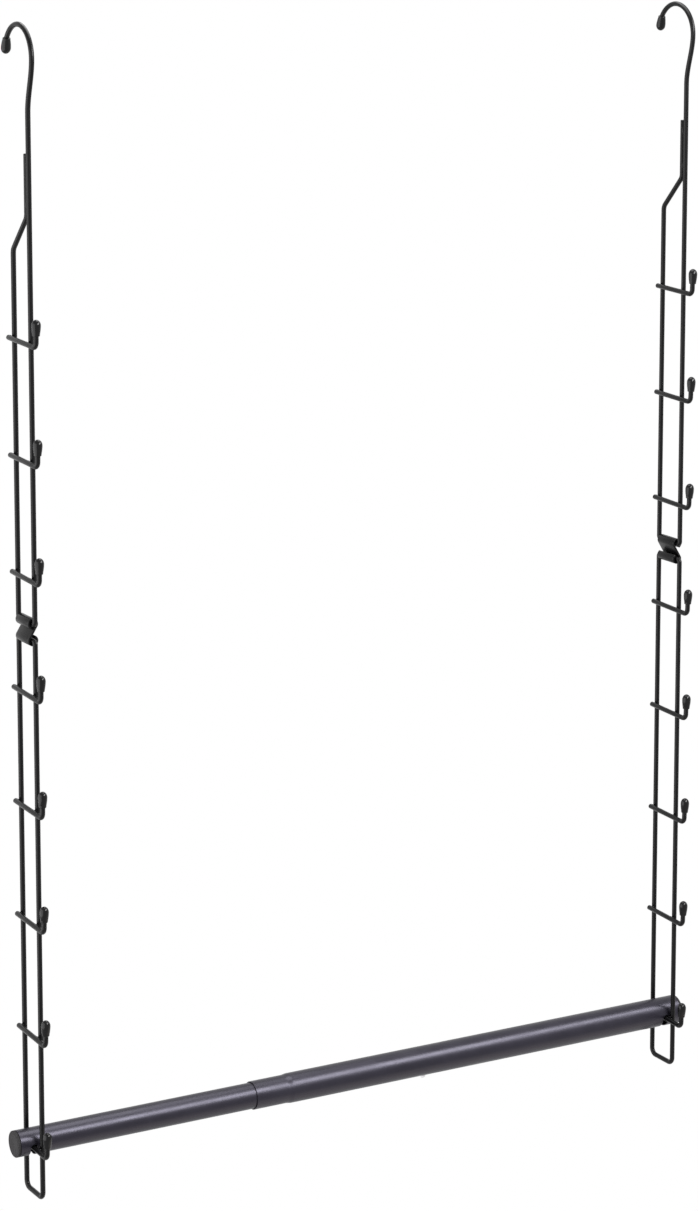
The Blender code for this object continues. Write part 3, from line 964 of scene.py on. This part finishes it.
def recess_arm(bar, top, along):
    """One tapered arm of the cross recess in the screw's head."""
    out = ALONG_Z.cross(along)
    rings = []
    for height, grow in RECESS_TAPER:
        half_span = bar.recess_span / 2 * grow
        half_width = bar.recess_width / 2 * grow
        centre = top + ALONG_Z * height
        rings.append([centre + along * half_span * end + out * half_width * edge for end, edge in SQUARE])
    return skin(rings)


# Operators

class CLOSET_HANGER_OT_side_frames(bpy.types.Operator):
    """Bend the upper and lower wires of both side frames"""

    bl_idname = "closet_hanger.side_frames"
    bl_label = "Side frames"

    def execute(self, context):
        settings = context.scene.closet_hanger
        wires = settings.wires
        for side in SIDES:
            x = PLANE_X[side]
            upper = wire_shell(upper_frame_path(wires, settings.caps), x, wires.deburr)
            new_piece(f"{side}_upper_wire", upper, "frame_coat", [f"{side}_upper_frame"])
            lower = wire_shell(lower_frame_path(wires), x, wires.deburr, closed=True)
            new_piece(f"{side}_lower_wire", lower, "frame_coat", [f"{side}_lower_frame"])
        return {"FINISHED"}


class CLOSET_HANGER_OT_rungs(bpy.types.Operator):
    """Bend the rungs with their prongs"""

    bl_idname = "closet_hanger.rungs"
    bl_label = "Rungs"

    def execute(self, context):
        settings = context.scene.closet_hanger
        for side in SIDES:
            for number in RUNG_Z:
                path = rung_path(settings.wires, settings.caps, number)
                shell = wire_shell(path, RUNG_X[side], settings.wires.deburr)
                new_piece(f"{side}_rung_wire_{number}", shell, "frame_coat", [f"{side}_rung_{number}"])
        return {"FINISHED"}


class CLOSET_HANGER_OT_welds(bpy.types.Operator):
    """Weld the rungs to the uprights and the tails to the front uprights"""

    bl_idname = "closet_hanger.welds"
    bl_label = "Welds"

    def execute(self, context):
        wires = context.scene.closet_hanger.wires
        draw = random.Random(WELD_SEED)
        for side in SIDES:
            beads = {f"{side}_hanger": [], f"{side}_ladder": []}
            seam_x = (PLANE_X[side] + RUNG_X[side]) / 2
            for number in RUNG_Z:
                body = BODY_OF[f"{side}_rung_{number}"]
                for y in (FRONT_Y, BACK_Y):
                    place = flat_to_space(seam_x, on_rung(number, y))
                    beads[body].append(weld_shell(wires, place, ALONG_X, ALONG_Y, stretch=1.0, draw=draw))
            tail_seam_y = FRONT_Y + (WIRE + wires.tail_gap) / 2
            for drop in TAIL_WELDS:
                place = Vector((PLANE_X[side], tail_seam_y, -wires.tail_top - wires.tail_rise * drop))
                bead = weld_shell(wires, place, ALONG_Y, ALONG_Z, stretch=TAIL_WELD_STRETCH, draw=draw)
                beads[f"{side}_hanger"].append(bead)
            for body, shells in beads.items():
                new_piece(f"{body}_welds", joined(shells), "frame_coat", body=body)
        return {"FINISHED"}


class CLOSET_HANGER_OT_soft_caps(bpy.types.Operator):
    """Push the soft caps on the prongs and the hooks"""

    bl_idname = "closet_hanger.soft_caps"
    bl_label = "Soft caps"

    def execute(self, context):
        settings = context.scene.closet_hanger
        wires, caps = settings.wires, settings.caps
        for side in SIDES:
            mouth, tip = hook_tip(wires)
            place = flat_to_space(PLANE_X[side], mouth)
            shell = cap_shell(caps, caps.hook_wall, place, flat_to_space(0, tip))
            new_piece(f"{side}_hook_tip", shell, "cap_vinyl", [f"{side}_hook_cap"])
            for number in RUNG_Z:
                corner, up = prong(wires, number)
                mouth = corner + up * (wires.prong_bend + wires.prong_stem)
                place = flat_to_space(RUNG_X[side], mouth)
                shell = cap_shell(caps, caps.prong_wall, place, flat_to_space(0, up))
                new_piece(f"{side}_prong_tip_{number}", shell, "cap_vinyl", [f"{side}_prong_cap_{number}"])
        return {"FINISHED"}


class CLOSET_HANGER_OT_hinge_links(bpy.types.Operator):
    """Roll the sheet links of the hinges"""

    bl_idname = "closet_hanger.hinge_links"
    bl_label = "Hinge links"

    def execute(self, context):
        links = context.scene.closet_hanger.links
        for side in SIDES:
            node = f"{side}_hinge_link"
            shell = link_shell(links, side, (high(node).y - low(node).y) / 2)
            new_piece(f"{side}_link_strip", shell, "frame_coat", [node])
        return {"FINISHED"}


class CLOSET_HANGER_OT_bar_tubes(bpy.types.Operator):
    """Make the two tubes of the telescopic bar"""

    bl_idname = "closet_hanger.bar_tubes"
    bl_label = "Bar tubes"

    def execute(self, context):
        bar = context.scene.closet_hanger.bar
        around = SLOT_MARGIN * bar.slot_width

        def stop(x, radius):
            return x, radius, radius - bar.wall

        mouth_x, end_x = OUTER_TUBE[0].x, OUTER_TUBE[1].x
        step_x = mouth_x + bar.neck_length
        swage = [stop(mouth_x, bar.neck_radius), stop(mouth_x + NECK_LIP, bar.neck_radius)]
        for index in range(SWAGE_STEPS + 1):
            part = index / SWAGE_STEPS
            radius = bar.neck_radius + (OUTER_RADIUS - bar.neck_radius) * eased(part)
            swage.append(stop(step_x + bar.shoulder * part, radius))
        slot_x = RUNG_X["right"]
        bays = [swage + [stop(slot_x - around, OUTER_RADIUS)], [stop(end_x, OUTER_RADIUS)]]
        cuts = [rung_slot(bar, slot_x, OUTER_RADIUS)]
        shell = tube_shell(bays, cuts, rung_slot_angles(bar, OUTER_RADIUS))
        outer = new_piece("outer_bar", shell, "bar_coat", ["bar_outer_tube"])

        start_x, inner_end_x = INNER_TUBE[0].x, INNER_TUBE[1].x
        slot_x = RUNG_X["left"]
        near = GUIDE_MARGIN * bar.guide_radius
        bays = [
            [stop(start_x, INNER_RADIUS)],
            [stop(slot_x + around, INNER_RADIUS), stop(bar.guide_start - near, INNER_RADIUS)],
            [stop(bar.guide_end + near, INNER_RADIUS), stop(inner_end_x, INNER_RADIUS)],
        ]
        guide = guide_slot(bar, INNER_RADIUS)
        cuts = [rung_slot(bar, slot_x, INNER_RADIUS), guide]
        guide_angles = [guide.reach * part for part in GUIDE_PARTS]
        shell = tube_shell(bays, cuts, rung_slot_angles(bar, INNER_RADIUS) + guide_angles)
        inner = new_piece("inner_bar", shell, "bar_coat", ["bar_inner_tube"])
        for tube in (outer, inner):
            round_edges(tube, bar.edge)
        return {"FINISHED"}


class CLOSET_HANGER_OT_end_caps(bpy.types.Operator):
    """Mould the end caps of the bar and its hidden glide plug"""

    bl_idname = "closet_hanger.end_caps"
    bl_label = "End caps"

    def execute(self, context):
        bar = context.scene.closet_hanger.bar
        inner_bore = INNER_RADIUS - bar.wall
        outer_bore = OUTER_RADIUS - bar.wall
        plugs = (
            ("inner_bar_cap", "inner_end_cap", -1, INNER_RADIUS, inner_bore, bar.flange),
            ("outer_bar_cap", "outer_end_cap", 1, OUTER_RADIUS, outer_bore, bar.flange),
            ("glide", "glide_plug", 1, outer_bore - bar.gap, inner_bore, bar.glide_flange),
        )
        for name, node, outward, rim, bore, flange in plugs:
            face_x = (high(node) if outward > 0 else low(node)).x
            shell = plug_shell(bar, face_x, ALONG_X * outward, rim, bore, flange)
            new_piece(name, shell, "end_plastic", [node], crease=35)
        return {"FINISHED"}


class CLOSET_HANGER_OT_stop_screw(bpy.types.Operator):
    """Turn the stop screw and cut its cross recess"""

    bl_idname = "closet_hanger.stop_screw"
    bl_label = "Stop screw"

    def execute(self, context):
        bar = context.scene.closet_hanger.bar
        head_z = low("stop_screw").z
        tip = high("stop_screw").z - head_z
        seat = BAR_Z - OUTER_RADIUS - bar.gap - head_z
        dome = seat * SCREW_DOME
        head, shank = bar.screw_head, bar.screw_shank
        profile = [(head * math.sin(angle), dome * (1 - math.cos(angle))) for angle in HEAD_TURNS]
        profile += [(head, dome), (head, seat - HEAD_EDGE), (head - HEAD_EDGE, seat)]
        profile += [(shank, seat), (shank, tip - SHANK_LEAD), (shank - SHANK_LEAD, tip)]
        top = Vector((SCREW_X, 0, head_z))
        arms = [recess_arm(bar, top, along) for along in (ALONG_X, ALONG_Y)]
        shell = carved(turned(profile, top, ALONG_Z, CAP_SIDES), arms)
        new_piece("screw", shell, "screw_zinc", ["stop_screw"], crease=30)
        return {"FINISHED"}


class CLOSET_HANGER_OT_stage(bpy.types.Operator):
    """Set the floor, the light and the camera"""

    bl_idname = "closet_hanger.stage"
    bl_label = "Stage"

    def execute(self, context):
        stage = context.scene.closet_hanger.stage
        context.scene.view_settings.view_transform = "Standard"
        self.lay_floor(context, stage)
        self.light_room(context, stage)
        bar_middle = Vector((0, 0, BAR_Z))
        frame_middle = Vector((0, 0, BAR_Z / 2))
        self.set_panel(context, "key_strip", *KEY_STRIP, stage.key_glow, bar_middle)
        self.set_panel(context, "side_panel", *SIDE_PANEL, stage.side_glow, frame_middle)
        self.set_panel(context, "near_strip", *NEAR_STRIP, stage.near_glow, bar_middle)
        self.set_panel(context, "top_panel", *TOP_PANEL, stage.top_glow, bar_middle)
        bounce = self.set_panel(context, "low_panel", *LOW_PANEL, stage.low_glow, LOW_PANEL_AIM)
        bounce.color = stage.low_tint
        self.set_camera(context, stage)
        return {"FINISHED"}

    def background_ray(self, tree):
        """1 for a ray that should see the plain white background."""
        path = add_node(tree, "ShaderNodeLightPath").outputs
        seen = maths(tree, "MAXIMUM", path["Is Camera Ray"], path["Is Glossy Ray"])
        return maths(tree, "MAXIMUM", seen, path["Is Transmission Ray"])

    def lay_floor(self, context, stage):
        """A wide pale disc that keeps the object's shadow, runs out into white and is clear from below."""
        centre = Vector((0, 0, stage.floor_z))
        rings = [circle(centre, ALONG_X, ALONG_Y, radius, FLOOR_SIDES) for radius in FLOOR_RINGS]
        points, faces = skin(rings)
        mesh = new_mesh("floor", (points, [face[::-1] for face in faces[:-1]]))
        material = bpy.data.materials.new("pale_floor")
        material.use_nodes = True
        tree = material.node_tree
        shader = tree.nodes["Principled BSDF"]
        shader.inputs["Roughness"].default_value = 0.9
        shader.inputs["Specular IOR Level"].default_value = 0.1
        place = add_node(tree, "ShaderNodeTexCoord").outputs["Object"]
        tone = fade(tree, noise(tree, place, scale=6.0, detail=4.0), start=0.3, end=0.7)
        darkest = shaded(stage.floor_colour, 1 - FLOOR_SPREAD)
        palest = shaded(stage.floor_colour, 1 + FLOOR_SPREAD)
        tree.links.new(mixed(tree, tone, darkest, palest), shader.inputs["Base Color"])
        flat = add_node(tree, "ShaderNodeVectorMath", {0: place, 1: (1, 1, 0)}, operation="MULTIPLY")
        away = add_node(tree, "ShaderNodeVectorMath", {0: flat.outputs[0]}, operation="LENGTH")
        run = {"Value": away.outputs["Value"], "From Min": FLOOR_FADE[0], "From Max": FLOOR_FADE[1]}
        far = add_node(tree, "ShaderNodeMapRange", run, interpolation_type="SMOOTHSTEP").outputs["Result"]
        white = maths(tree, "MULTIPLY", far, self.background_ray(tree))
        backdrop = add_node(tree, "ShaderNodeEmission", {"Color": WHITE, "Strength": 1.0}).outputs[0]
        above = mixed_shader(tree, white, shader.outputs[0], backdrop)
        below = add_node(tree, "ShaderNodeBsdfTransparent").outputs[0]
        underside = add_node(tree, "ShaderNodeNewGeometry").outputs["Backfacing"]
        surface = mixed_shader(tree, underside, above, below)
        tree.links.new(surface, tree.nodes["Material Output"].inputs["Surface"])
        mesh.materials.append(material)
        floor = bpy.data.objects.new("floor", mesh)
        context.scene.collection.objects.link(floor)

    def light_room(self, context, stage):
        """Even light from all round, in front of a white background."""
        world = bpy.data.worlds.new("white_room")
        world.use_nodes = True
        tree = world.node_tree
        room = tree.nodes["Background"]
        room.inputs["Color"].default_value = WHITE
        room.inputs["Strength"].default_value = stage.daylight
        backdrop = add_node(tree, "ShaderNodeBackground", {"Color": WHITE, "Strength": 1.0}).outputs[0]
        surface = mixed_shader(tree, self.background_ray(tree), room.outputs[0], backdrop)
        tree.links.new(surface, tree.nodes["World Output"].inputs["Surface"])
        context.scene.world = world

    def set_panel(self, context, name, start, end, width, brightness, target):
        """A soft light panel along a middle line from start to end, turned to its target."""
        start, end, target = Vector(start), Vector(end), Vector(target)
        centre = (start + end) / 2
        along = (end - start).normalized()
        across = (centre - target).cross(along).normalized()
        lamp = bpy.data.lights.new(name, "AREA")
        lamp.shape = "RECTANGLE"
        lamp.size, lamp.size_y = (end - start).length, width
        lamp.energy = brightness * math.pi * lamp.size * lamp.size_y
        panel = bpy.data.objects.new(name, lamp)
        panel.matrix_world = Matrix((along, across, along.cross(across))).transposed().to_4x4()
        panel.location = centre
        panel.visible_camera = False
        context.scene.collection.objects.link(panel)
        return lamp

    def set_camera(self, context, stage):
        lens = bpy.data.cameras.new("camera")
        lens.lens = stage.lens
        lens.shift_y = stage.rise
        camera = bpy.data.objects.new("camera", lens)
        camera.location = stage.eye
        camera.rotation_euler = (math.pi / 2 + stage.pitch, 0, -stage.heading)
        context.scene.collection.objects.link(camera)
        context.scene.camera = camera


class CLOSET_HANGER_PT_pieces(bpy.types.Panel):
    """Pieces and settings of the closet hanger"""

    bl_idname = "CLOSET_HANGER_PT_pieces"
    bl_label = "Closet hanger"
    bl_space_type = "VIEW_3D"
    bl_region_type = "UI"
    bl_category = "Closet hanger"

    def draw(self, context):
        settings = context.scene.closet_hanger
        for operator in OPERATORS:
            self.layout.operator(operator.bl_idname)
        for group in ("wires", "caps", "links", "bar", "finishes", "stage"):
            box = self.layout.box()
            values = getattr(settings, group)
            for name in values.__annotations__:
                box.prop(values, name)


OPERATORS = (
    CLOSET_HANGER_OT_side_frames,
    CLOSET_HANGER_OT_rungs,
    CLOSET_HANGER_OT_welds,
    CLOSET_HANGER_OT_soft_caps,
    CLOSET_HANGER_OT_hinge_links,
    CLOSET_HANGER_OT_bar_tubes,
    CLOSET_HANGER_OT_end_caps,
    CLOSET_HANGER_OT_stop_screw,
    CLOSET_HANGER_OT_stage,
)
CLASSES = (
    WireSizes, CapSizes, LinkSizes, BarSizes, Finishes, StageSettings, HangerSettings,
    *OPERATORS, CLOSET_HANGER_PT_pieces,
)


def register():
    for one in CLASSES:
        bpy.utils.register_class(one)
    bpy.types.Scene.closet_hanger = PointerProperty(type=HangerSettings)


def unregister():
    del bpy.types.Scene.closet_hanger
    for one in reversed(CLASSES):
        bpy.utils.unregister_class(one)


def main():
    register()
    bpy.ops.closet_hanger.side_frames()
    bpy.ops.closet_hanger.rungs()
    bpy.ops.closet_hanger.welds()
    bpy.ops.closet_hanger.soft_caps()
    bpy.ops.closet_hanger.hinge_links()
    bpy.ops.closet_hanger.bar_tubes()
    bpy.ops.closet_hanger.end_caps()
    bpy.ops.closet_hanger.stop_screw()
    bpy.ops.closet_hanger.stage()


if __name__ == "__main__":
    main()
